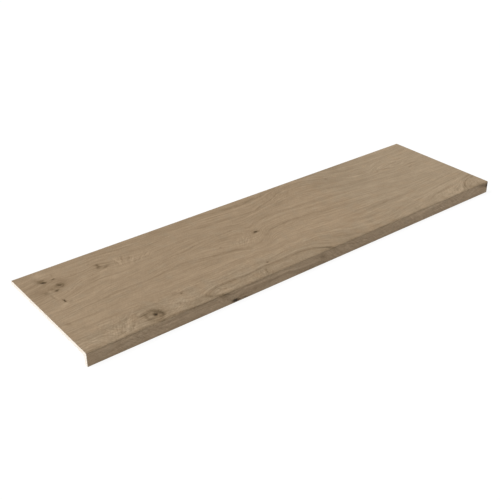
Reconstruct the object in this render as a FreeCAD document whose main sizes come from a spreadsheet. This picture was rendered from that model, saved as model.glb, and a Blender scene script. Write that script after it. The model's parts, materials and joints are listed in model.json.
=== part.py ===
import FreeCAD, Part
import Sketcher
import math
import os

# Porcelain stair tread: one thin slab whose front edge turns down into a straight nose.
# Millimetres. +X runs along the step's width, the nose faces -Y, +Z is up.
# The origin is under the middle of the tread, level with the foot of the nose.

SIZES = [
    ("treadLength", 1200, "along the step, end to end"),
    ("treadDepth", 330, "front of the nose to the back edge"),
    ("noseHeight", 32, "foot of the nose to the walking face"),
    ("slabThickness", 9, "walking face to the underside"),
    ("noseThickness", 9, "front to back of the down-turned nose"),
    ("noseRound", 3, "radius of the arris between walking face and nose"),
    ("rootRound", 5, "radius inside the corner, under the slab and behind the nose"),
    ("arrisBevel", 0.5, "bevel ground on the cut ends, the back edge and the foot"),
    ("keyWidth", 12, "mouth of a bedding groove in the underside"),
    ("keyDepth", 0.8, "depth of a bedding groove"),
    ("keyDraft", 0.6, "how far each side of a groove leans in"),
    ("keyPitch", 24, "one groove to the next"),
    ("keyMargin", 16, "least plain band in front of the first groove and behind the last"),
]

TOLERANCE = 1e-6

# how a sketch numbers its own two axes, and the ends of a line
ACROSS_AXIS, UP_AXIS = -1, -2
START, END = 1, 2
ORIGIN = (ACROSS_AXIS, START)

doc = FreeCAD.newDocument("StairTread")


def make_sheet():
    sheet = doc.addObject("Spreadsheet::Sheet", "Sizes")
    for row, (name, value, note) in enumerate(SIZES, start=1):
        sheet.set(f"A{row}", name)
        sheet.set(f"B{row}", str(value))
        sheet.set(f"C{row}", note)
        sheet.setAlias(f"B{row}", name)
    doc.recompute()
    return sheet


def section_sketch(body, name):
    # a sketch in the cross-section plane: its own x is the part's Y, its own y the part's Z
    plane = next(f for f in body.Origin.OriginFeatures if f.Role == "YZ_Plane")
    sketch = body.newObject("Sketcher::SketchObject", name)
    sketch.AttachmentSupport = [(plane, "")]
    sketch.MapMode = "FlatFace"
    return sketch


def closed_outline(sketch, corners):
    # straight sides from corner to corner, joined end to end; returns the sides' numbers
    points = [FreeCAD.Vector(x, y, 0) for x, y in corners]
    for here, there in zip(points, points[1:] + points[:1]):
        sketch.addGeometry(Part.LineSegment(here, there))
    sides = range(len(points))
    for side in sides:
        sketch.addConstraint(Sketcher.Constraint("Coincident", side, END, (side + 1) % len(sides), START))
    return sides


def drive(sketch, name, kind, geometry, expression):
    # adds one dimension at its present value, names it and ties it to the sheet
    index = sketch.addConstraint(Sketcher.Constraint(kind, *geometry))
    sketch.renameConstraint(index, name)
    sketch.setExpression(f"Constraints.{name}", expression)


def tread_section(body, sheet):
    # the L that the whole tread is drawn from, before its edges are worked
    front = -sheet.treadDepth / 2
    back = sheet.treadDepth / 2
    top = sheet.noseHeight
    under = top - sheet.slabThickness
    behind = front + sheet.noseThickness
    sketch = section_sketch(body, "TreadSection")
    nose_front, walking_face, back_edge, underside, nose_back, foot = closed_outline(
        sketch,
        [(front, 0), (front, top), (back, top), (back, under), (behind, under), (behind, 0)],
    )
    for side in (nose_front, back_edge, nose_back):
        sketch.addConstraint(Sketcher.Constraint("Vertical", side))
    sketch.addConstraint(Sketcher.Constraint("Horizontal", underside))
    sketch.addConstraint(Sketcher.Constraint("PointOnObject", nose_front, START, ACROSS_AXIS))
    sketch.addConstraint(Sketcher.Constraint("PointOnObject", foot, START, ACROSS_AXIS))
    sketch.addConstraint(Sketcher.Constraint("Symmetric", walking_face, START, walking_face, END, UP_AXIS))
    drive(sketch, "depth", "DistanceX", (walking_face, START, walking_face, END, sheet.treadDepth),
          "Sizes.treadDepth")
    drive(sketch, "height", "DistanceY", (nose_front, START, nose_front, END, sheet.noseHeight),
          "Sizes.noseHeight")
    drive(sketch, "slab", "DistanceY", (back_edge, END, back_edge, START, sheet.slabThickness),
          "Sizes.slabThickness")
    drive(sketch, "nose", "DistanceX", (foot, END, foot, START, sheet.noseThickness),
          "Sizes.noseThickness")
    return sketch


def edge_names(shape, test):
    # names of the edges whose two ends and middle all pass the test
    names = []
    for number, edge in enumerate(shape.Edges, start=1):
        middle = edge.valueAt((edge.FirstParameter + edge.LastParameter) / 2)
        if all(test(point) for point in (edge.Vertexes[0].Point, edge.Vertexes[-1].Point, middle)):
            names.append(f"Edge{number}")
    return names


def rounded(body, base, name, test, expression):
    fillet = body.newObject("PartDesign::Fillet", name)
    fillet.Base = (base, edge_names(base.Shape, test))
    fillet.setExpression("Radius", expression)
    doc.recompute()
    return fillet


def near(value, target):
    return abs(value - target) < TOLERANCE


def bedding_grooves(body, base, sheet):
    # shallow drafted grooves along the whole underside, which key into the mortar bed;
    # as many as the plain bands leave room for, centred between the nose and the back edge
    count = ("max(1; floor((Sizes.treadDepth - Sizes.noseThickness - 2 * Sizes.keyMargin"
             " - Sizes.keyWidth) / Sizes.keyPitch) + 1)")
    under = sheet.noseHeight - sheet.slabThickness
    floor = under + sheet.keyDepth
    front = (sheet.noseThickness - sheet.keyWidth) / 2
    back = front + sheet.keyWidth
    lean = sheet.keyDraft
    sketch = section_sketch(body, "GrooveSection")
    mouth, back_side, groove_floor, front_side = closed_outline(
        sketch,
        [(front, under), (back, under), (back - lean, floor), (front + lean, floor)],
    )
    for side in (mouth, groove_floor):
        sketch.addConstraint(Sketcher.Constraint("Horizontal", side))
    drive(sketch, "mouthHeight", "DistanceY", (*ORIGIN, mouth, START, under),
          "Sizes.noseHeight - Sizes.slabThickness")
    drive(sketch, "mouthPlace", "DistanceX", (*ORIGIN, mouth, END, back),
          f"(Sizes.noseThickness + ({count} - 1) * Sizes.keyPitch + Sizes.keyWidth) / 2")
    drive(sketch, "mouthWidth", "DistanceX", (mouth, START, mouth, END, sheet.keyWidth),
          "Sizes.keyWidth")
    drive(sketch, "grooveDepth", "DistanceY", (back_side, START, back_side, END, sheet.keyDepth),
          "Sizes.keyDepth")
    drive(sketch, "backDraft", "DistanceX", (back_side, END, back_side, START, lean),
          "Sizes.keyDraft")
    drive(sketch, "frontDraft", "DistanceX", (front_side, END, front_side, START, lean),
          "Sizes.keyDraft")
    doc.recompute()

    groove = body.newObject("PartDesign::Pocket", "BeddingGroove")
    groove.Profile = sketch
    groove.SideType = "Symmetric"
    groove.Type = "Length"
    groove.setExpression("Length", "Sizes.treadLength")
    doc.recompute()

    row = body.newObject("PartDesign::LinearPattern", "BeddingGrooves")
    row.Originals = [groove]
    row.Direction = (sketch, ["H_Axis"])
    row.Reversed = True
    row.Mode = "Spacing"
    row.setExpression("Offset", "Sizes.keyPitch")
    row.setExpression("Occurrences", count)
    body.Tip = row
    doc.recompute()

    section = sheet.keyDepth * (sheet.keyWidth - sheet.keyDraft)
    wanted = row.Occurrences * section * sheet.treadLength
    taken = base.Shape.Volume - row.Shape.Volume
    if not math.isclose(taken, wanted, rel_tol=1e-3):
        raise RuntimeError(f"the bedding grooves take {taken:.1f} cubic mm, not {wanted:.1f}")
    print(f"{row.Occurrences} bedding grooves")
    return row


def ground_bevels(body, base, sheet):
    # the ends and the back edge are sawn and their upper arrises ground, as is the foot's front arris
    end = sheet.treadLength / 2
    front = -sheet.treadDepth / 2
    back = sheet.treadDepth / 2
    top = sheet.noseHeight
    radius = sheet.noseRound

    def on_end_outline(point):
        if not near(abs(point.x), end):
            return False
        on_round = near(math.hypot(point.y - front - radius, point.z - top + radius), radius)
        return near(point.z, top) or near(point.y, front) or on_round

    def on_back_arris(point):
        return near(point.y, back) and near(point.z, top)

    def on_foot_arris(point):
        return near(point.y, front) and near(point.z, 0)

    def worked(point):
        return on_end_outline(point) or on_back_arris(point) or on_foot_arris(point)

    bevel = body.newObject("PartDesign::Chamfer", "GroundBevels")
    bevel.Base = (base, edge_names(base.Shape, worked))
    bevel.setExpression("Size", "Sizes.arrisBevel")
    body.Tip = bevel
    doc.recompute()
    return bevel


def stair_tread(sheet):
    body = doc.addObject("PartDesign::Body", "StairTreadBody")
    body.Label = "stair_tread"
    sketch = tread_section(body, sheet)
    doc.recompute()

    slab = body.newObject("PartDesign::Pad", "SlabAndNose")
    slab.Profile = sketch
    slab.SideType = "Symmetric"
    slab.setExpression("Length", "Sizes.treadLength")
    doc.recompute()

    front = -sheet.treadDepth / 2
    top = sheet.noseHeight
    nose = rounded(body, slab, "NoseRound",
                   lambda point: near(point.y, front) and near(point.z, top),
                   "Sizes.noseRound")
    root = rounded(body, nose, "RootRound",
                   lambda point: near(point.y, front + sheet.noseThickness)
                   and near(point.z, top - sheet.slabThickness),
                   "Sizes.rootRound")
    grooved = bedding_grooves(body, root, sheet)
    ground_bevels(body, grooved, sheet)
    body.Placement = FreeCAD.Placement()
    return body


def check_document(pieces):
    failed = [o.Name for o in doc.Objects if {"Invalid", "Error"} & set(o.State)]
    if failed:
        raise RuntimeError(f"these objects failed: {failed}")
    for piece in pieces:
        if piece.Shape.isNull() or not piece.Shape.isValid() or len(piece.Shape.Solids) != 1:
            raise RuntimeError(f"{piece.Label} is not one sound solid")


pieces = [stair_tread(make_sheet())]
doc.recompute()
check_document(pieces)

os.makedirs("parts", exist_ok=True)
for piece in pieces:
    piece.Shape.exportStep(f"parts/{piece.Label}.step")
    box = piece.Shape.BoundBox
    print(f"{piece.Label}: {box.XLength:.2f} x {box.YLength:.2f} x {box.ZLength:.2f} mm,"
          f" {piece.Shape.Volume / 1000:.1f} cubic cm")
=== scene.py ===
import bpy
import bmesh
import json
import math
from mathutils import Matrix, Vector

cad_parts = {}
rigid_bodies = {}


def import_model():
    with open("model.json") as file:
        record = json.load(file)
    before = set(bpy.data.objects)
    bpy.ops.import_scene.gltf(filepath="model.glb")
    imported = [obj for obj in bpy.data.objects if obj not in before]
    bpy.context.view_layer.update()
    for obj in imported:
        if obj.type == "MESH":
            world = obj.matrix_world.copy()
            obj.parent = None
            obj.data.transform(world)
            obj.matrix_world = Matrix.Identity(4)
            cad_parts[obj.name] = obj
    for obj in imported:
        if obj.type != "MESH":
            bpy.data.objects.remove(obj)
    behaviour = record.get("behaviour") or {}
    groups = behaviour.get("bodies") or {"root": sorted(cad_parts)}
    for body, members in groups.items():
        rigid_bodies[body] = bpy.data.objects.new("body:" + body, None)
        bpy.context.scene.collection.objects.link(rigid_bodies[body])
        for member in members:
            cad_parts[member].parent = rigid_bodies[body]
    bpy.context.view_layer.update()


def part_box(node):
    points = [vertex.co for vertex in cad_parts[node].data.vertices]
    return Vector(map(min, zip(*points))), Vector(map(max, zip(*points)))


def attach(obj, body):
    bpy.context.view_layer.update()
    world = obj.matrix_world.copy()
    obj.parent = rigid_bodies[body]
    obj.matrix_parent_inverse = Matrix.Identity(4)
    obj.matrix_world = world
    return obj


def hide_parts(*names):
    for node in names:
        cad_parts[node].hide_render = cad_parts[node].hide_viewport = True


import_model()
nodeLow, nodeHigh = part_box("stair_tread")
print("frame loaded, tread", [round(v, 4) for v in nodeHigh - nodeLow])


def deselectAll():
    if bpy.context.object and bpy.context.object.mode != "OBJECT":
        bpy.ops.object.mode_set(mode="OBJECT")
    bpy.ops.object.select_all(action="DESELECT")


# the tread's shape: a thin slab with a nose turned down at the front, all in metres

tread = {
    "slab": 0.009,          # thickness of the slab
    "nose": 0.009,          # thickness of the nose, front to back
    "noseRound": 0.003,     # rounded arris between walking face and nose
    "noseSteps": 10,
    "rootRound": 0.005,     # inside corner behind the nose
    "rootSteps": 8,
    "grooves": 12,          # bedding grooves in the underside
    "groovePitch": 0.024,
    "grooveMouth": 0.012,
    "grooveLean": 0.0006,
    "grooveDepth": 0.0008,
    "arris": 0.0005,        # ground edges
    "arrisSteps": 2,
    "nearby": 0.00001,      # places closer together than this count as one
    "flatAngle": 1,         # degrees; an edge flatter than this is dissolved
    "sideways": 0.1,        # a face that leans more than this to an end is bare body
    "smoothAngle": 30,      # degrees
}


def near(first, second):
    return abs(first - second) < tread["nearby"]


def pickFaces(piece, test):
    bpy.ops.mesh.select_mode(type="FACE")
    bpy.ops.mesh.select_all(action="DESELECT")
    shape = bmesh.from_edit_mesh(piece.data)
    for face in shape.faces:
        if test(face.calc_center_bounds(), face.normal):
            face.select_set(True)
    bmesh.update_edit_mesh(piece.data)


def pickEdges(piece, *tests):
    # takes each edge whose two corners both pass one of the tests
    bpy.ops.mesh.select_mode(type="EDGE")
    bpy.ops.mesh.select_all(action="DESELECT")
    shape = bmesh.from_edit_mesh(piece.data)
    for edge in shape.edges:
        if any(all(test(corner.co) for corner in edge.verts) for test in tests):
            edge.select_set(True)
    bmesh.update_edit_mesh(piece.data)


def cutUnderside(piece, under, y):
    # draws a line along the underside from end to end
    pickFaces(piece, lambda middle, normal: near(middle.z, under) and normal.z < 0)
    bpy.ops.mesh.bisect(plane_co=(0, y, 0), plane_no=(0, 1, 0))


def makeTread(t):
    deselectAll()
    size = nodeHigh - nodeLow
    middle = (nodeHigh + nodeLow) / 2
    under = nodeHigh.z - t["slab"]
    noseBack = nodeLow.y + t["nose"]

    # slab
    bpy.ops.mesh.primitive_cube_add(size=1, location=(middle.x, middle.y, nodeHigh.z - t["slab"] / 2))
    piece = bpy.context.object
    piece.name = "oakPrintTread"
    piece.scale = (size.x, size.y, t["slab"])
    bpy.ops.object.transform_apply(location=True, rotation=True, scale=True)
    bpy.ops.object.mode_set(mode="EDIT")

    # nose, pulled down out of the slab
    cutUnderside(piece, under, noseBack)
    pickFaces(piece, lambda middle, normal: near(middle.z, under) and middle.y < noseBack)
    bpy.ops.mesh.extrude_region_move(TRANSFORM_OT_translate={"value": (0, 0, nodeLow.z - under)})
    bpy.ops.mesh.select_all(action="SELECT")
    bpy.ops.mesh.dissolve_limited(angle_limit=math.radians(t["flatAngle"]))

    # rounded arris over the nose, then the round inside the corner
    pickEdges(piece, lambda p: near(p.y, nodeLow.y) and near(p.z, nodeHigh.z))
    bpy.ops.mesh.bevel(offset=t["noseRound"], segments=t["noseSteps"], affect="EDGES")
    pickEdges(piece, lambda p: near(p.y, noseBack) and near(p.z, under))
    bpy.ops.mesh.bevel(offset=t["rootRound"], segments=t["rootSteps"], affect="EDGES")

    # bedding grooves, each with leaning sides
    row = (noseBack + nodeHigh.y) / 2 - (t["grooves"] - 1) / 2 * t["groovePitch"]
    for number in range(t["grooves"]):
        centre = row + number * t["groovePitch"]
        mouth = t["grooveMouth"] / 2
        floor = mouth - t["grooveLean"]
        for y in (centre - mouth, centre - floor, centre + floor, centre + mouth):
            cutUnderside(piece, under, y)
        pickFaces(piece, lambda middle, normal: near(middle.z, under) and near(middle.y, centre))
        bpy.ops.transform.translate(value=(0, 0, t["grooveDepth"]))

    # ground edges: round both ends, over the back and under the nose
    def onOutline(p):
        fromCentre = Vector((p.y - nodeLow.y - t["noseRound"], p.z - nodeHigh.z + t["noseRound"]))
        onRound = near(fromCentre.length, t["noseRound"])
        return onRound or near(p.z, nodeHigh.z) or near(p.y, nodeLow.y)

    def onLeftEnd(p):
        return near(p.x, nodeLow.x) and onOutline(p)

    def onRightEnd(p):
        return near(p.x, nodeHigh.x) and onOutline(p)

    def onBackArris(p):
        return near(p.y, nodeHigh.y) and near(p.z, nodeHigh.z)

    def onFootArris(p):
        return near(p.y, nodeLow.y) and near(p.z, nodeLow.z)

    pickEdges(piece, onLeftEnd, onRightEnd, onBackArris, onFootArris)
    bpy.ops.mesh.bevel(offset=t["arris"], segments=t["arrisSteps"], affect="EDGES")
    bpy.ops.object.mode_set(mode="OBJECT")
    return piece


def paintTread(piece, oakFace, bareFace, t):
    # the print covers the walking face, the round and the front of the nose; all else is bare body
    piece.data.materials.append(oakFace)
    piece.data.materials.append(bareFace)
    for face in piece.data.polygons:
        n = face.normal
        printed = abs(n.x) < t["sideways"] and n.y < t["sideways"] and n.z > -t["sideways"]
        face.material_index = 0 if printed else 1
    bpy.ops.object.shade_smooth_by_angle(angle=math.radians(t["smoothAngle"]))
    bpy.ops.object.modifier_add(type="WEIGHTED_NORMAL")
    piece.modifiers[-1].keep_sharp = True
    bpy.ops.object.modifier_apply(modifier=piece.modifiers[-1].name)


# shader sums: a wire stands for an output socket, and arithmetic on wires adds Math nodes

class Wire:
    def __init__(self, tree, socket=None):
        self.tree = tree
        self.socket = socket

    def add(self, kind, settings, values, out=0):
        node = self.tree.nodes.new(kind)
        for name, value in settings.items():
            if name == "stops":
                fillRamp(node.color_ramp, value)
            elif name == "points":
                fillCurve(node.mapping, value)
            else:
                setattr(node, name, value)
        for name, value in values.items():
            if isinstance(value, Wire):
                self.tree.links.new(value.socket, node.inputs[name])
            else:
                node.inputs[name].default_value = value
        return Wire(self.tree, node.outputs[out])

    def maths(self, operation, *terms):
        return self.add("ShaderNodeMath", {"operation": operation}, dict(enumerate(terms)))

    def __add__(self, other):
        return self.maths("ADD", self, other)

    def __radd__(self, other):
        return self.maths("ADD", other, self)

    def __sub__(self, other):
        return self.maths("SUBTRACT", self, other)

    def __rsub__(self, other):
        return self.maths("SUBTRACT", other, self)

    def __mul__(self, other):
        return self.maths("MULTIPLY", self, other)

    def __rmul__(self, other):
        return self.maths("MULTIPLY", other, self)

    def __truediv__(self, other):
        return self.maths("DIVIDE", self, other)

    def timesPlus(self, factor, extra):
        return self.maths("MULTIPLY_ADD", self, factor, extra)

    def fade(self):
        # e to the power of minus this
        return self.maths("POWER", math.exp(-1), self)

    def mixed(self, share, first, second, blend="MIX"):
        # a Mix node takes its two colours at sockets 6 and 7 and gives the result at 2
        return self.add("ShaderNodeMix", {"data_type": "RGBA", "blend_type": blend},
                        {0: share, 6: first, 7: second}, out=2)

    def ramp(self, low, high):
        # 0 below low, 1 above high, smooth between
        return self.add("ShaderNodeMapRange", {"interpolation_type": "SMOOTHSTEP"},
                        {"Value": self, "From Min": low, "From Max": high})


def fillRamp(ramp, stops):
    while len(ramp.elements) < len(stops):
        ramp.elements.new(1.0)
    for element, (place, colour) in zip(ramp.elements, stops):
        element.position = place
        element.color = colour


def fillCurve(mapping, points):
    curve = mapping.curves[0]
    while len(curve.points) < len(points):
        curve.points.new(1.0, 1.0)
    for point, place in zip(curve.points, points):
        point.location = place
        point.handle_type = "AUTO_CLAMPED"
    mapping.update()


# a screen's own curve: straight below the knee, a power above it

screen = {
    "full": 255,
    "knee": 0.04045,
    "slope": 12.92,
    "lift": 0.055,
    "power": 2.4,
}


def paint(red, green, blue):
    # a colour given in screen levels, turned into the shader's linear values
    linear = []
    for level in (red, green, blue):
        share = level / screen["full"]
        if share < screen["knee"]:
            linear.append(share / screen["slope"])
        else:
            linear.append(((share + screen["lift"]) / (1 + screen["lift"])) ** screen["power"])
    return (*linear, 1.0)


def newMaterial(name):
    material = bpy.data.materials.new(name)
    material.use_nodes = True
    tree = material.node_tree
    shader = tree.nodes["Principled BSDF"]
    return material, tree, shader


def newGroup(name, labels):
    # a node group that takes the named values and hands back one tone
    group = bpy.data.node_groups.new(name, "ShaderNodeTree")
    for label in labels:
        group.interface.new_socket(label, in_out="INPUT", socket_type="NodeSocketFloat")
    group.interface.new_socket("tone", in_out="OUTPUT", socket_type="NodeSocketFloat")
    given = group.nodes.new("NodeGroupInput")
    return group, [Wire(group, given.outputs[label]) for label in labels]


def closeGroup(group, tone):
    end = group.nodes.new("NodeGroupOutput")
    group.links.new(tone.socket, end.inputs["tone"])
    print("node group", group.name, len(group.nodes), "nodes")
    return group


def turned(x, y, halfX, halfY, turn, ahead, aside):
    # how far a place lies along and across an oval, in its half widths
    cosine, sine = math.cos(math.radians(turn)), math.sin(math.radians(turn))
    if turn == 0:
        return ahead.timesPlus(1 / halfX, -x / halfX), aside.timesPlus(1 / halfY, -y / halfY)
    u = aside.timesPlus(sine / halfX, -(x * cosine + y * sine) / halfX)
    v = aside.timesPlus(cosine / halfY, (x * sine - y * cosine) / halfY)
    return ahead.timesPlus(cosine / halfX, u), ahead.timesPlus(-sine / halfY, v)


def spot(x, y, halfX, halfY, turn, ahead, aside):
    # 1 in the middle of an oval, fading out to 0
    u, v = turned(x, y, halfX, halfY, turn, ahead, aside)
    return v.timesPlus(v, u * u).fade()


def spotGroup(name, spots):
    group, (ahead, aside) = newGroup(name, ("ahead", "aside"))
    tone = None
    for x, y, halfX, halfY, turn, amount in spots:
        shape = spot(x, y, halfX, halfY, turn, ahead, aside)
        tone = shape * amount if tone is None else shape.timesPlus(amount, tone)
    return closeGroup(group, tone)


def strokeGroup(name, strokes):
    group, (ahead, level) = newGroup(name, ("ahead", "level"))
    tone = None
    for lineLevel, first, last, half, amount in strokes:
        off = level.timesPlus(1 / half, -lineLevel / half)
        middle, reachX = (first + last) / 2, (last - first) / 2
        run = ahead.timesPlus(1 / reachX, -middle / reachX)
        run = run * run
        stroke = run.timesPlus(run, off * off).fade()
        tone = stroke * amount if tone is None else stroke.timesPlus(amount, tone)
    return closeGroup(group, tone)


# oak print: places are millimetres along the tread from its left end and back from its front, so that
# the nose, folded out flat, lies below 0; tones are screen levels lighter or darker than the mean

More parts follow.
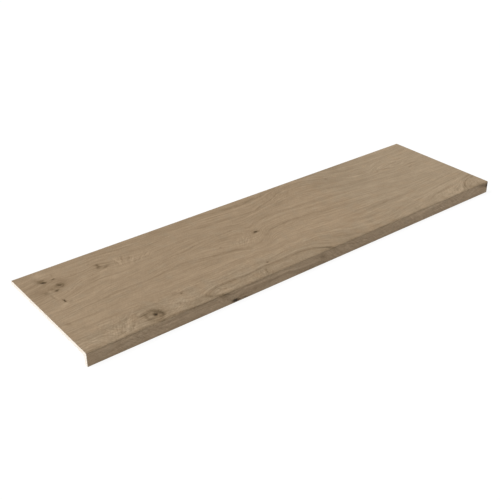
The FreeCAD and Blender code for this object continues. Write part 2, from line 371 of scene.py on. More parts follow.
oak = {
    "mean": (158.5, 138.3, 112.8),
    "warm": (159.9, 138.0, 112.0),
    "cool": (157.7, 138.5, 114.3),
    # each tone's colour
    "tones": [
        (-90, (58, 47, 33)),
        (-60, (90, 74, 54)),
        (-36, (120, 102, 78)),
        (-15, (143.5, 123.8, 98.5)),
        (0, (158.5, 138.3, 112.8)),
        (13, (173, 152, 125)),
        (30, (190, 168, 141)),
    ],
    "low": -60,             # lowest and highest line of the figure
    "high": 360,
    # growth lines: each one's level, then its way along the tread
    "growth": [
        (-60, [(0, -60), (1200, -60)]),
        (-20, [(0, -24), (100, -14), (187, -8), (260, -9), (300, -9), (330, -15), (350, -24), (362, -21),
               (394, -17), (429, -15), (477, -15), (504, -17), (521, -21), (550, -25), (590, -26),
               (625, -30), (700, -42), (850, -40), (1000, -38), (1100, -34), (1150, -27), (1200, -28)]),
        (28, [(0, 48), (69, 46), (103, 49), (134, 52), (172, 48), (230, 30), (270, 17), (287, 17),
              (304, 23.5), (319, 29), (346, 34), (385, 32.5), (400, 30), (440, 33), (469, 37),
              (487, 36), (560, 34), (584, 32), (604, 25), (619, 16), (631, 6), (643, -8), (664, -24),
              (720, -32), (820, -28), (900, -25), (1000, -25), (1080, -24), (1105, -14), (1119, 2),
              (1126, 17), (1141, 30), (1159, 42), (1200, 47)]),
        (62, [(0, 72), (60, 74), (125, 70), (172, 70), (225, 62), (300, 57), (400, 58), (480, 56),
              (560, 59), (640, 56), (675, 38), (700, 26), (737, 7), (780, 0), (860, 6), (940, 20),
              (1003, 29), (1034, 36), (1137, 49), (1159, 56), (1200, 61)]),
        (78, [(0, 88), (125, 88), (256, 78), (400, 76), (620, 78), (700, 64), (760, 52), (860, 44),
              (988, 55), (1081, 64), (1190, 74), (1200, 75)]),
        (100, [(0, 104), (300, 103), (620, 101), (831, 90), (950, 88), (1100, 97), (1200, 103)]),
        (142, [(0, 130), (62, 141), (125, 143), (156, 148), (203, 147), (250, 150), (281, 155),
               (337, 156), (384, 147), (440, 134), (466, 126), (484, 115), (516, 116), (545, 130),
               (560, 145), (575, 155), (603, 160), (672, 161), (712, 158), (744, 148), (800, 141),
               (900, 134), (1000, 123), (1200, 118)]),
        (195, [(0, 160), (84, 166), (150, 172), (206, 180), (275, 190), (312, 197), (375, 203),
               (400, 208), (425, 211), (500, 214), (516, 211), (530, 205), (541, 203), (553, 204),
               (565, 209), (579, 213), (640, 216), (700, 212), (800, 202), (900, 190), (1000, 176),
               (1100, 166), (1200, 158)]),
        (235, [(0, 200), (50, 211), (81, 221), (109, 235), (137, 242), (162, 246), (200, 238),
               (250, 232), (300, 232), (400, 238), (500, 232), (545, 222), (600, 238), (681, 240),
               (750, 235), (847, 222), (962, 209), (1030, 198), (1100, 196), (1144, 205), (1200, 205)]),
        (275, [(0, 290), (60, 298), (140, 285), (177, 290), (240, 278), (300, 272), (406, 274),
               (462, 266), (525, 263), (575, 257), (600, 256), (637, 266), (675, 279), (694, 289),
               (728, 302), (780, 306), (850, 284), (900, 264), (969, 240), (1003, 241), (1040, 256),
               (1072, 262), (1137, 257), (1200, 262)]),
        (315, [(0, 325), (300, 321), (400, 324), (470, 322), (503, 316), (575, 307), (619, 307),
               (669, 313), (712, 322), (780, 345), (850, 335), (920, 312), (1000, 298), (1100, 293),
               (1200, 300)]),
        (360, [(0, 360), (1200, 360)]),
    ],
    # knots push the grain aside: place, half width, half height, share
    "eyes": [
        (62, 258, 30, 26, 0.5),
        (177, 264, 20, 17, 0.5),
        (172, 25, 26, 20, 0.5),
        (546, 170, 16, 10, 0.4),
    ],
    # dark and light stretches of growth lines: level, from, to, half width, tone
    "lines": [
        (28, 296, 470, 3.8, -20),
        (20, 300, 380, 1.6, -6),
        (15, 500, 620, 2.0, -7),
        (28, 440, 640, 4.0, -22),
        (22, 470, 590, 1.6, -7),
        (38, 290, 610, 3.0, 8),
        (28, 10, 150, 2.2, -9),
        (33, 20, 135, 2.4, 6),
        (22, 0, 120, 1.6, -5),
        (28, 1112, 1200, 2.6, -18),
        (-20, 340, 480, 2.4, -12),
        (-20, 500, 625, 3.0, -9),
        (-8, 140, 310, 3.0, -11),
        (-15, 135, 300, 1.6, 8),
        (-12, 380, 600, 2.0, 7),
        (52, 120, 225, 4.0, -9),
        (62, 0, 60, 2.0, -9),
        (61, 425, 550, 2.4, -8),
        (74, 400, 640, 3.0, 8),
        (62, 990, 1140, 2.0, -8),
        (78, 980, 1200, 2.4, -8),
        (74, 990, 1130, 1.6, 6),
        (50, 1070, 1200, 2.0, -9),
        (45, 1070, 1180, 2.0, 8),
        (100, 830, 955, 2.2, -10),
        (142, 0, 400, 3.0, -9),
        (147, 0, 120, 2.4, 12),
        (148, 215, 310, 2.4, 6),
        (142, 380, 490, 5.0, -10),
        (142, 552, 730, 4.0, -11),
        (142, 720, 1010, 6.0, -6),
        (136, 560, 700, 3.0, 4),
        (148, 780, 980, 5.0, 5),
        (165, 570, 770, 7.0, 5),
        (180, 390, 525, 3.0, -6),
        (187, 84, 235, 2.0, 6),
        (195, 270, 405, 2.6, -12),
        (202, 300, 410, 2.4, 5),
        (195, 400, 530, 4.0, -12),
        (195, 520, 620, 4.0, -8),
        (187, 528, 556, 3.0, 5),
        (195, 590, 810, 3.0, -6),
        (184, 550, 790, 4.0, 4),
        (235, 44, 160, 2.2, 11),
        (229, 52, 150, 1.6, 7),
        (232, 50, 165, 1.2, -7),
        (224, 100, 170, 2.4, -7),
        (240, 840, 980, 7.0, -6),
        (275, 404, 730, 3.6, -8),
        (281, 560, 720, 2.2, 5),
        (264, 540, 640, 3.4, -5),
        (294, 525, 690, 2.6, -8),
        (315, 495, 720, 6.5, -13),
        (305, 540, 740, 3.4, 8),
    ],
    # spots, patches and short dashes: place, half length, half width, turn in degrees, tone
    "marks": [
        (60, 258, 40, 34, 0, -8),
        (60, 256, 22, 22, 0, -5),
        (20, 246, 20, 13, 10, -12),
        (54, 314, 12, 16, 20, 12),
        (50, 278, 5.6, 3.2, -24, -82),
        (52, 288, 4, 5, 10, -20),
        (44, 288, 6, 9, 14, -27),
        (39, 296, 9, 7, 0, -9),
        (73, 278, 3.6, 2.8, -24, -62),
        (76, 295, 1.8, 7, -8, -14),
        (72.5, 252, 4.8, 3.6, -20, -64),
        (80, 247, 4.0, 7, 12, -14),
        (86, 262, 9, 12, 0, -8),
        (75, 244, 5, 3.5, 0, -14),
        (58.5, 233.5, 5.0, 3.6, 20, -58),
        (53, 245, 6, 3.6, -20, -18),
        (36, 238, 7, 6, -30, -22),
        (45, 239, 4, 4, 0, 12),
        (51, 227, 5, 3, 0, 8),
        (61, 263, 8, 4, 0, 12),
        (41, 213, 1.8, 12, 12, -14),
        (46, 210, 2.2, 12, 12, 7),
        (53.7, 187.5, 2.2, 6.2, 8, -88),
        (51, 176, 5, 4, 0, 10),
        (64, 177, 4, 3, 0, -12),
        (185, 264, 22, 14, -24, -8),
        (175, 267, 3.4, 7.0, 26, -44),
        (171, 260, 3.6, 3.6, 0, -30),
        (168, 246, 8, 4, 0, -7),
        (176, 274, 3, 4, 20, -12),
        (187, 253, 8, 3.6, 24, -22),
        (174, 242, 14, 3.2, 8, 14),
        (218, 265, 8, 1.8, -88, 11),
        (221, 248, 8, 1.8, 72, 11),
        (232, 263, 13, 2.2, 68, -14),
        (215, 258, 8, 1.8, 81, -13),
        (250, 243, 14, 2.6, 50, 14),
        (254, 236, 13, 2.2, 53, -13),
        (246, 254, 10, 2.0, 57, -13),
        (261, 242, 11, 2.0, 52, 13),
        (273, 238, 10, 2.0, 45, 12),
        (266, 238, 12, 2.0, 44, -12),
        (172, 27, 32, 24, 0, -8),
        (178, 28, 14, 14, 0, -7),
        (172, 26.5, 4.2, 4.2, 0, -78),
        (176, 37, 9, 6.0, -24, -22),
        (184, 30, 7, 7, -40, -20),
        (160, 20, 9, 3, -35, -12),
        (151, 38.5, 11, 4.2, -8, -25),
        (146, 46, 7, 4.5, 0, 9),
        (187, 20, 4.0, 5, 10, -20),
        (117, 38, 38, 2.4, 48, 13),
        (128, 32, 28, 2.2, 50, -8),
        (107, 40, 22, 2.0, 48, -7),
        (119, 18, 18, 2.2, 45, 8),
        (72, 7, 20, 3, 0, 7),
        (86, 61, 30, 2.2, -12, 7),
        (123, 60, 11, 2.4, 42, 8),
        (115, 58, 13, 2.2, 36, -9),
        (178, 15, 4, 5, 0, -8),
        (150, 51, 10, 6, 0, 9),
        (158, 60, 22, 9, 15, -6),
        (256, 61, 3.0, 3.0, 0, -44),
        (243, 70.5, 20, 2.2, -4, -20),
        (285, 60, 20, 2.0, 0, -8),
        (20, 107, 7, 4.5, -35, -15),
        (300, 13, 17, 4.0, -30, -15),
        (322, 3, 15, 3.5, -20, -20),
        (330, -3, 15, 4, -8, -12),
        (296, 18, 4, 10, 10, -9),
        (350, 134, 58, 7, 0, -5),
        (434, 163, 2.0, 2.0, 0, -34),
        (462, 160, 18, 8, -6, -6),
        (477, 47.5, 2.8, 2.6, 0, -56),
        (544, 169.2, 7.2, 3.0, 4, -84),
        (556, 144, 10, 6, 24, -11),
        (545, 163, 5, 2, 0, 10),
        (535, 184, 14, 6, -35, -8),
        (525, 138, 22, 14, 0, 3),
        (470, 236, 50, 6, 0, 4),
        (550, 251, 34, 3, -3, 5),
        (540, 245, 26, 2.5, 0, -5),
        (620, 238, 32, 3, 0, -6),
        (681, 252, 15, 11, 0, -8),
        (712, 290, 28, 2.4, 22, -9),
        (690, 262, 20, 2.4, 25, -7),
        (730, 278, 22, 2.2, 30, -5),
        (672, 30, 25, 6, -25, -9),
        (720, 58, 28, 4, -15, -6),
        (697, 94, 24, 3, 0, -5),
        (815, 270, 40, 12, -15, -6),
        (960, 268, 40, 8, 0, -5),
        (945, 245, 34, 5, -8, 5),
        (830, 191, 36, 4, -4, -6),
        (872.5, 280, 3.8, 3.6, 0, -22),
        (868, 262, 40, 22, 0, -4),
        (1047, 228, 19, 2.2, -14, -20),
        (1066, 222, 10, 2.0, -10, -9),
        (1088, 236, 12, 2.0, 20, -12),
        (1112, 196, 11, 1.8, 10, -17),
        (1130, 209, 16, 2.0, 6, -19),
        (1120, 224, 14, 2.0, 14, -9),
        (1022, 249, 22, 2.0, 26, -13),
        (1040, 240, 18, 2.0, 22, 7),
        (1098, 246, 34, 2.0, 16, -11),
        (1098, 240, 34, 2.0, 16, 7),
        (1026, 241, 20, 2.0, 24, 7),
        (1120, 202, 16, 1.8, 8, 8),
        (1060, 302, 70, 5, 0, -4),
        (1150, 150, 60, 6, 0, 4),
        (706, 20, 36, 3.0, -28, -8),
        (326, -8, 17, 4.5, -24, -18),
        (354, -26.5, 9.0, 4.0, -14, -96),
        (377, -28, 15, 3.0, -4, -34),
        (345, -24, 14, 3.0, -25, 6),
        (604, -13, 14, 10, -25, -20),
        (634, 6, 11, 7, -35, -20),
        (618, 18, 18, 4.4, -40, -15),
        (1180, -8.5, 24, 4.6, -18, -34),
        (1197, -12.0, 5, 5.5, 0, -66),
        (1134, 12, 12, 6, 40, -12),
        (1075, 14, 14, 8, -50, 8),
        (1100, 22, 12, 5, -60, -5),
    ],
    # fainter patches that lighten or darken the grain, and a painted shade darkening the nose towards
    # its foot, given in the same way
    "patchesAndNoseShade": [
        (208, 304, 40, 3.0, -6, -9),
        (62, 217, 15, 2.2, 14, 7),
        (95, 227, 18, 2.4, 27, -8),
        (152, 246, 28, 8, 10, -5),
        (221, 257, 7, 12, 10, 9),
        (304, 231, 28, 4, 0, -5),
        (340, 238, 26, 3, 0, 5),
        (85, 181, 32, 4, 5, -7),
        (58, 172, 7, 4, 0, -7),
        (12, 170, 18, 3.5, 0, -7),
        (254, 157, 28, 2.4, 4, 6),
        (388, 129, 14, 7, 0, -6),
        (165, 75, 40, 2.4, 0, -6),
        (225, 24, 9, 14, 0, 7),
        (266, 14, 22, 9, 0, -7),
        (218, 7, 26, 4, 0, 5),
        (90, 4, 12, 4, 0, -8),
        (690, 315, 46, 2.6, 11, 8),
        (692, 309, 27, 2.8, 14, -8),
        (600, 301, 25, 3, 0, 7),
        (542, 238, 27, 6, -5, -6),
        (429, 204, 32, 2.8, 0, -7),
        (590, 158, 26, 2.6, 3, -7),
        (650, 172, 46, 6, -4, 4),
        (690, 162, 14, 3, -5, 6),
        (718, 149, 14, 3, -10, -6),
        (790, 268, 22, 8, 0, -7),
        (742, 237, 9, 4, -30, -8),
        (747, 247, 8, 5, 0, 6),
        (724, 268, 12, 5, 20, -6),
        (458, 318, 26, 4, 0, -5),
        (458, 60, 27, 2.4, 0, -6),
        (623, 59, 22, 3, 0, 6),
        (690, 64, 16, 2.6, -10, -8),
        (733, 48, 18, 6, -20, -9),
        (658, 35, 14, 6, -20, -5),
        (842, 320, 44, 4, -3, 8),
        (900, 295, 31, 4, -12, -7),
        (945, 297, 18, 5, -10, 6),
        (815, 264, 28, 9, -20, -5),
        (966, 246, 36, 3.2, -5, -9),
        (973, 253, 18, 2.8, 5, 6),
        (878, 235, 22, 6, 0, 6),
        (1014, 243, 16, 2.2, 38, 6),
        (1032, 238, 18, 2.2, 38, 6),
        (1023, 240, 18, 2.4, 38, -5),
        (1092, 227, 24, 3.0, 8, -9),
        (1050, 224, 20, 2.6, -5, -6),
        (1062, 243, 24, 2.6, 12, 7),
        (1160, 235, 18, 3.2, -20, -7),
        (1112, 190, 18, 2.4, 10, 6),
        (1140, 216, 16, 2.4, 8, 6),
        (855, 150, 62, 2.8, -5, 7),
        (825, 121, 35, 3.4, -3, -8),
        (1030, 127, 76, 2.6, -2, 8),
        (1025, 174, 36, 6, -8, -5),
        (930, 83, 27, 6, 0, 6),
        (860, 54, 60, 2.8, 2, 6),
        (1130, 83, 22, 4, 0, 5),
        (840, 8, 9, 6, 0, -9),
        (890, 7, 34, 5, 0, 6),
        (935, 3, 9, 9, -20, -11),
        (985, 3, 38, 4, 0, -6),
        (1034, 9, 5, 9, -30, -10),
        (1052, 42, 21, 2.8, 8, 8),
        (1066, 18, 8, 6, -40, -10),
        (1130, 22, 28, 3.6, 38, -9),
        (1143, 8, 12, 6, 30, -17),
        (1168, 5, 12, 4, 0, -10),
        (1170, 13, 9, 5, 10, -9),
        (1178, 55, 22, 2.6, 11, -18),
        (1148, 43, 10, 3.4, 43, -9),
        (992, 10, 22, 5, 0, -7),
        (98, 55, 14, 2.0, 6, -8),
        (100, 50.5, 14, 2.0, 6, 7),
        (380, 157, 22, 3, 0, -6),
        (440, 131, 30, 7, -14, -5),
        (405, 12, 8, 7, 0, 12),
        (452, 6, 8, 5, 0, -10),
        (188, -13, 38, 2.0, -2, 13),
        (246, -11, 30, 1.8, 5, 9),
        (200, -7, 60, 2.6, 0, -6),
        (372, -5.5, 40, 1.6, -5, 7),
        (366, -13.5, 36, 1.8, -8, 8),
        (350, -19, 24, 1.8, -20, 6),
        (430, -12.5, 70, 2.4, -2, -8),
        (480, -19, 60, 2.0, -4, 5),
        (378, -15, 26, 1.8, -2, -9),
        (480, -13, 24, 2.0, -2, -9),
        (545, -20, 50, 2.4, -3, -6),
        # painted shade: the nose darkens towards its foot
        (600, -34, 900, 9, 0, -8),
        (1110, -17, 160, 16, 0, -6),
        (1178, -16, 22, 8, 0, -10),
        (1176, 12, 24, 8, -8, -7),
        (1189, 48, 8, 6, 75, -9),
        (665, 168, 66, 10, -8, 7),
        (922, 53, 38, 9, 8, 8),
        (543, 26, 32, 9, -20, 7),
        (60, -9, 44, 8, 0, 6),
        (876, 314, 30, 8, -10, 8),
        (50, 123, 40, 5, 3, 7),
        (471, 112, 34, 6, -3, 7),
        (411, 82, 36, 4.5, 2, 6),
        (411, 138, 20, 5, -7, 8),
        (289, 28, 24, 5, 5, -8),
        (739, 265, 14, 9, 15, -6),
    ],
    # rims of knots: place, half width, half height, turn, thickness as a share, tone
    "rims": [
        (73, 250, 8.6, 8.4, 0, 0.3, -12),
        (169, 26, 17, 17, 0, 0.24, -14),
    ],
    # patches of curled grain: place, half width, half height, turn of the curls, tone
    "curls": [
        (222, 252, 17, 22, 76, 6.0),
        (252, 249, 20, 18, 58, 6.0),
        (284, 245, 22, 14, 42, 7.0),
        (50, 24, 60, 26, -38, 6.0),
        (338, 18, 28, 10, -30, 6.0),
        (100, 28, 34, 34, 58, 7.0),
        (450, 15, 24, 13, 62, 9.0),
        (110, -14, 90, 14, -40, 9.0),
        (325, -12, 34, 12, -40, 7.0),
        (700, -16, 110, 14, -38, 8.0),
        (1000, -15, 150, 14, -36, 8.0),
        (500, 154, 30, 20, 55, 8.0),
        (1120, 24, 80, 24, 42, 6.0),
        (700, 290, 60, 34, 40, 3.5),
        (240, 22, 60, 24, 40, 5.0),
    ],
    "curlSize": (22, 3.2),
    "curlTwist": 0.5,
    "curlSeed": 80,         # the patches' seeds count up from here
    # patches of rough, wrinkled grain: place, half width, half height, tone
    "rough": [
        (130, 18, 180, 46, 4.6),
        (430, 10, 190, 26, 4.2),
        (420, 60, 280, 24, 2.8),
        (900, 12, 330, 34, 3.0),
        (600, -18, 800, 14, 2.2),
        (230, 150, 330, 110, 1.5),
        (640, 180, 220, 90, 1.1),
    ],
    "roughSize": (7.5, 3.8),
    "roughTwist": 1.0,
    "roughSeed": 40,
    # grain at every size: along, across, tone, seed
    "grain": [
        (430, 45, 1.2, 3),
        (320, 13, 2.3, 11),
        (280, 5.0, 3.6, 23),
        (110, 2.3, 4.1, 37),
        (34, 1.0, 5.3, 51),
    ],
    "noiseSpread": 0.13,    # how far the noise node's values usually stray from a half
    # what noise makes uneven: its size along, its size across, amount, seed
    "wobble": [
        (95, 30, 1.7, 70),
        (26, 10, 0.6, 71),
    ],
    "raggedAlong": (7, 5, 1.0, 90),     # edges of knots and marks
    "raggedAcross": (6, 4, 0.9, 95),
    "frayAcross": (9, 5, 0.7, 91),      # growth lines that show
    "frayAlong": (9, 5, 0.7, 93),
    "fading": (22, 7, 0.3, 92),
    "mottle": (34, 34, 1.3, 5),
    "hueDrift": (24, 24, 0.35, 97),
    "ripple": (16, 3.4, 58, 1.3, 6),    # along, across, turn in degrees, tone, seed
    "poreSize": (9, 0.42),
    "poreSpan": (1.0, 2.2),             # noise values between which a pore opens
    "poreSeed": 60,
    "poreTone": -11,
    # slow drift of the whole print: lighter from here to there along the tread, and in broad ovals
    "rightSpan": (740, 1200),
    "rightLight": 7.5,
    "drifts": [
        (0, 130, 150, 60, 0, 3),
        (450, 0, 330, 45, 0, -3),
        (600, 330, 900, 55, 0, -3),
    ],
    "arrisPaintedShade": -5.5,      # painted shade: a soft dark band along the arris, where the walking face rounds over into the nose: tone, place, half width
    "arrisShadePlace": 3.4,
    "arrisShadeHalf": 3.4,
    # the print is cooler to the right and over the front, but not on the nose
    "coolRight": (740, 900),
    "coolFront": 0.7,
    "frontSpan": (40, 90),
    "noseSpan": (-5, 3),
    "roughness": 0.6,
    "roughnessSpread": 0.035,
    "poreRoughness": 0.1,
    "gloss": 0.14,
    "reliefDepth": 0.001,   # relief values are millimetres
    "poreRelief": -0.10,
    "grainRelief": 0.012,
}


def makeOakPrint(o):
    material, tree, shader = newMaterial("oakPrint")
    start = Wire(tree)
    objectPlace = start.add("ShaderNodeTexCoord", {}, {}, out="Object")
    xyz = objectPlace.add("ShaderNodeSeparateXYZ", {}, {0: objectPlace})
    split = xyz.socket.node.outputs
    perMetre = 1000
    along = Wire(tree, split[0]).timesPlus(perMetre, -perMetre * nodeLow.x)
    unfolded = Wire(tree, split[1]) + Wire(tree, split[2])
    across = unfolded.timesPlus(perMetre, -perMetre * (nodeLow.y + nodeHigh.z))

    def vector(x, y, z=0.0):
        return start.add("ShaderNodeCombineXYZ", {}, {0: x, 1: y, 2: z})

    def noise(place, detail=1.0, twist=0.0):
        # noise about 0, usually between -1 and 1
        raw = start.add("ShaderNodeTexNoise", {}, {"Vector": place, "Scale": 1.0, "Detail": detail,
                                                   "Distortion": twist})
        return raw.timesPlus(1 / o["noiseSpread"], -0.5 / o["noiseSpread"])

    def unevenly(base, values, lengthways, crossways, detail=1.0):
        sizeX, sizeY, amount, seed = values
        place = vector(lengthways / sizeX, crossways / sizeY, seed)
        return noise(place, detail).timesPlus(amount, base)

    # grain never runs quite straight
    wavy = across
    for values in o["wobble"]:
        wavy = unevenly(wavy, values, along, across)

    # slow drift of the whole print
    tone = along.ramp(*o["rightSpan"]) * o["rightLight"]
    for x, y, halfX, halfY, turn, amount in o["drifts"]:
        tone = spot(x, y, halfX, halfY, turn, along, across).timesPlus(amount, tone)
    # painted shade: a soft dark band along the arris darkens the print there
    arris = (across - o["arrisShadePlace"]) / o["arrisShadeHalf"]
    tone = (arris * arris).fade().timesPlus(o["arrisPaintedShade"], tone)

    # knots, spots and dashes, fainter grain patches and the painted shade at the foot of the nose
    raggedX = unevenly(along, o["raggedAlong"], along, across, detail=2.0)
    raggedY = unevenly(wavy, o["raggedAcross"], along, across, detail=2.0)
    for name in ("marks", "patchesAndNoseShade"):
        group = spotGroup(name, o[name])
        tone = tone + start.add("ShaderNodeGroup", {"node_tree": group}, {0: raggedX, 1: raggedY})

    for x, y, halfX, halfY, turn, thick, amount in o["rims"]:
        u, v = turned(x, y, halfX, halfY, turn, raggedX, raggedY)
        radius = start.maths("SQRT", v.timesPlus(v, u * u))
        off = radius.timesPlus(1 / thick, -1 / thick)
        tone = (off * off).fade().timesPlus(amount, tone)

    # knots push the grain aside
    bent = wavy
    for x, y, halfX, halfY, share in o["eyes"]:
        push = spot(x, y, halfX, halfY, 0, along, wavy) * -share
        bent = (wavy - y).timesPlus(push, bent)

    # between two growth lines the level rises evenly
    reach = o["high"] - o["low"]
    length = perMetre * (nodeHigh.x - nodeLow.x)
    step = along / length
    rise = bent.timesPlus(1 / reach, -o["low"] / reach)
    curves = []
    for level, points in o["growth"]:
        drawn = [(x / length, (y - o["low"]) / reach) for x, y in points]
        curves.append(start.add("ShaderNodeFloatCurve", {"points": drawn}, {"Value": step}))
    level = None
    for number in range(len(curves) - 1):
        gain = o["growth"][number + 1][0] - o["growth"][number][0]
        part = start.add("ShaderNodeMapRange", {"interpolation_type": "LINEAR", "clamp": False},
                         {"Value": rise, "From Min": curves[number], "From Max": curves[number + 1],
                          "To Min": 0.0, "To Max": gain})
        part = start.maths("MINIMUM", part.maths("MAXIMUM", part, 0.0), gain)
        level = part + o["growth"][0][0] if level is None else level + part

    # growth lines that show, a little frayed and uneven
    frayed = unevenly(level, o["frayAcross"], along, across)
    ends = unevenly(along, o["frayAlong"], along, level)
    group = strokeGroup("lines", o["lines"])
    figure = start.add("ShaderNodeGroup", {"node_tree": group}, {0: ends, 1: frayed})
    strength = unevenly(1.0, o["fading"], along, level)
    tone = figure.timesPlus(strength, tone)

    # grain
    grain = None
    for sizeX, sizeY, amount, seed in o["grain"]:
        fine = noise(vector(along / sizeX, level / sizeY, seed), detail=2.0)
        grain = fine * amount if grain is None else fine.timesPlus(amount, grain)

    # open pores, short dark dashes along the grain
    poreX, poreY = o["poreSize"]
    pores = noise(vector(along / poreX, level / poreY, o["poreSeed"])).ramp(*o["poreSpan"])

    # mottled patches, cross ripple and curled grain
    tone = grain + tone
    tone = pores.timesPlus(o["poreTone"], tone)
    tone = unevenly(tone, o["mottle"], along, across)
    sizeX, sizeY, turn, amount, seed = o["ripple"]
    u, v = turned(0, 0, sizeX, sizeY, turn, along, wavy)
    tone = noise(vector(u, v, seed)).timesPlus(amount, tone)
    for seed, (x, y, halfX, halfY, turn, amount) in enumerate(o["curls"], start=o["curlSeed"]):
        u, v = turned(x, y, *o["curlSize"], turn, along, wavy)
        curl = noise(vector(u, v, seed), twist=o["curlTwist"])
        patch = spot(x, y, halfX, halfY, 0, along, wavy)
        tone = (curl * patch).timesPlus(amount, tone)

    # rough, wrinkled grain
    roughX, roughY = o["roughSize"]
    place = vector(along / roughX, wavy / roughY, o["roughSeed"])
    wrinkles = noise(place, detail=2.0, twist=o["roughTwist"])
    for x, y, halfX, halfY, amount in o["rough"]:
        patch = spot(x, y, halfX, halfY, 0, along, wavy)
        tone = (wrinkles * patch).timesPlus(amount, tone)

    # colour
    lowest, highest = o["tones"][0][0], o["tones"][-1][0]
    place = tone.timesPlus(1 / (highest - lowest), -lowest / (highest - lowest))
    stops = [((at - lowest) / (highest - lowest), paint(*colour)) for at, colour in o["tones"]]
    colour = start.add("ShaderNodeValToRGB", {"stops": stops}, {"Fac": place})
    cool = along.ramp(*o["coolRight"])
    front = o["coolFront"] - o["coolFront"] * across.ramp(*o["frontSpan"])
    cool = cool.maths("MAXIMUM", cool, front) * across.ramp(*o["noseSpan"])
    cool = unevenly(cool, o["hueDrift"], along, across)
    mean = paint(*o["mean"])
    tints = [[a / b for a, b in zip(paint(*o[name]), mean)] for name in ("warm", "cool")]
    tint = start.mixed(cool, *tints)
    colour = start.mixed(1.0, colour, tint, blend="MULTIPLY")
    tree.links.new(colour.socket, shader.inputs["Base Color"])

    # the finest grain and the pores make the gloss uneven too
    rough = fine.timesPlus(o["roughnessSpread"], o["roughness"]) + pores * o["poreRoughness"]
    tree.links.new(rough.socket, shader.inputs["Roughness"])
    shader.inputs["Specular IOR Level"].default_value = o["gloss"]

    relief = grain * o["grainRelief"] + pores * o["poreRelief"]
    bump = start.add("ShaderNodeBump", {}, {"Height": relief, "Distance": o["reliefDepth"]})
    tree.links.new(bump.socket, shader.inputs["Normal"])
    print("oak print:", len(tree.nodes), "nodes")
    return material


# ceramic body: cream stoneware on the sawn ends, the back edge, the underside and behind the nose

clay = {
    "colour": (250, 243, 233),
    "shade": (238, 227, 212),
    "speck": (196, 180, 162),
    "cloudScale": 40,
    "cloudSpan": (0.35, 0.65),
    "cloudShade": 0.5,
    "gritScale": 2600,
    "gritShade": 0.4,
    "speckScale": 900,
    "speckSpan": (0.68, 0.74),
    "speckShade": 0.5,
    "roughness": 0.68,
    "gritRoughness": 0.15,
    "gloss": 0.3,
    "cloudRelief": 0.5,     # as a share of the grit's
    "reliefDepth": 0.0001,
}


def makeBody(c):
    material, tree, shader = newMaterial("ceramicBody")
    start = Wire(tree)
    place = start.add("ShaderNodeTexCoord", {}, {}, out="Object")

    def noise(scale, detail):
        return start.add("ShaderNodeTexNoise", {}, {"Vector": place, "Scale": scale, "Detail": detail})

    clouds = noise(c["cloudScale"], detail=2.0).ramp(*c["cloudSpan"])
    grit = noise(c["gritScale"], detail=1.0)
    specks = noise(c["speckScale"], detail=0.0).ramp(*c["speckSpan"])
    shade = clouds * c["cloudShade"] + grit * c["gritShade"]
    colour = start.mixed(shade, paint(*c["colour"]), paint(*c["shade"]))
    colour = start.mixed(specks * c["speckShade"], colour, paint(*c["speck"]))
    tree.links.new(colour.socket, shader.inputs["Base Color"])
    rough = grit * c["gritRoughness"] + c["roughness"]
    tree.links.new(rough.socket, shader.inputs["Roughness"])
    shader.inputs["Specular IOR Level"].default_value = c["gloss"]
    relief = grit + clouds * c["cloudRelief"]
    bump = start.add("ShaderNodeBump", {}, {"Height": relief, "Distance": c["reliefDepth"]})
    tree.links.new(bump.socket, shader.inputs["Normal"])
    print("ceramic body:", len(tree.nodes), "nodes")
    return material


piece = makeTread(tread)
print("tread modelled:", len(piece.data.polygons), "faces")
paintTread(piece, makeOakPrint(oak), makeBody(clay), tread)
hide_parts("stair_tread")
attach(piece, "root")
print("tread painted")

# camera: stands at the front left, just under a metre up, with the tread across the whole frame

camera = {
    "place": (-1.1179, -1.3303, 0.9726),
    "aim": (-0.1359, -0.1235, 0.032),
    "tilt": 0.133,          # degrees the camera leans over to one side
    "lens": 59.09,
    "sensor": 36.0,
    "shiftX": -0.0278,
    "shiftY": 0.0293,
    "near": 0.05,
    "far": 50,
}


def makeCamera(c):
    data = bpy.data.cameras.new("studioCamera")
    data.sensor_width = c["sensor"]
    data.lens = c["lens"]
    data.shift_x = c["shiftX"]
    data.shift_y = c["shiftY"]
    data.clip_start = c["near"]
    data.clip_end = c["far"]
    ob = bpy.data.objects.new("studioCamera", data)
    bpy.context.scene.collection.objects.link(ob)
    place = Vector(c["place"])
    look = (Vector(c["aim"]) - place).to_track_quat("-Z", "Y").to_matrix().to_4x4()
    ob.matrix_world = Matrix.Translation(place) @ look @ Matrix.Rotation(math.radians(c["tilt"]), 4, "Z")
    bpy.context.scene.camera = ob


makeCamera(camera)
print("camera set")

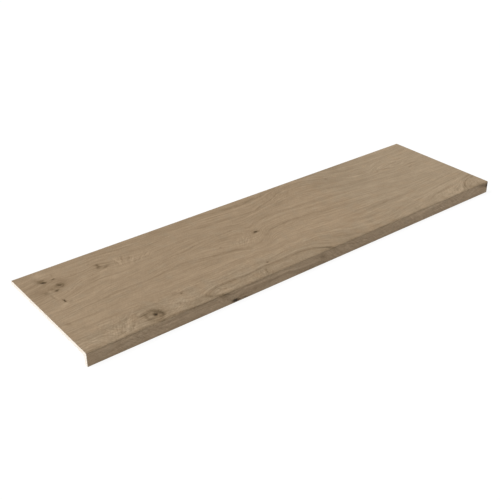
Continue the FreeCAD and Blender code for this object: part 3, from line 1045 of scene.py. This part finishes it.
# floor and light

studio = {
    "floorSize": 30.0,
    "floorDrop": 0.0002,
    "floorColour": (0.1, 0.1, 0.1, 1),
    "floorRoughness": 1.0,
    "floorGloss": 0.0,
    "floorLight": (1, 1, 1, 1),
    "floorGlow": 0.93,
    "worldColour": (1, 1, 1, 1),
    "worldStrength": 0.24,
    "skyGlow": 0.974,       # how bright the surroundings look to the camera itself
    "keyPlace": (-2.8, 1.6, 4.6),
    "keySoftness": 30,      # degrees
    "keyStrength": 2.95,
}


def makeStudio(s):
    deselectAll()
    bpy.ops.mesh.primitive_plane_add(size=s["floorSize"], location=(0, 0, nodeLow.z - s["floorDrop"]))
    floor = bpy.context.object
    floor.name = "studioFloor"
    bpy.ops.object.transform_apply(location=True, rotation=True, scale=True)
    paper, tree, shader = newMaterial("studioPaper")
    shader.inputs["Base Color"].default_value = s["floorColour"]
    shader.inputs["Roughness"].default_value = s["floorRoughness"]
    shader.inputs["Specular IOR Level"].default_value = s["floorGloss"]
    shader.inputs["Emission Color"].default_value = s["floorLight"]
    shader.inputs["Emission Strength"].default_value = s["floorGlow"]
    floor.data.materials.append(paper)

    world = bpy.data.worlds.new("studioWorld")
    bpy.context.scene.world = world
    world.use_nodes = True
    background = world.node_tree.nodes["Background"]
    background.inputs["Color"].default_value = s["worldColour"]
    seen = Wire(world.node_tree).add("ShaderNodeLightPath", {}, {}, out="Is Camera Ray")
    strength = seen.timesPlus(s["skyGlow"] - s["worldStrength"], s["worldStrength"])
    world.node_tree.links.new(strength.socket, background.inputs["Strength"])

    key = bpy.data.lights.new("keyLight", "SUN")
    key.angle = math.radians(s["keySoftness"])
    key.energy = s["keyStrength"]
    ob = bpy.data.objects.new("keyLight", key)
    bpy.context.scene.collection.objects.link(ob)
    place = Vector(s["keyPlace"])
    ob.matrix_world = Matrix.Translation(place) @ (-place).to_track_quat("-Z", "Y").to_matrix().to_4x4()
    bpy.context.scene.view_settings.view_transform = "Standard"


makeStudio(studio)
print("studio set")
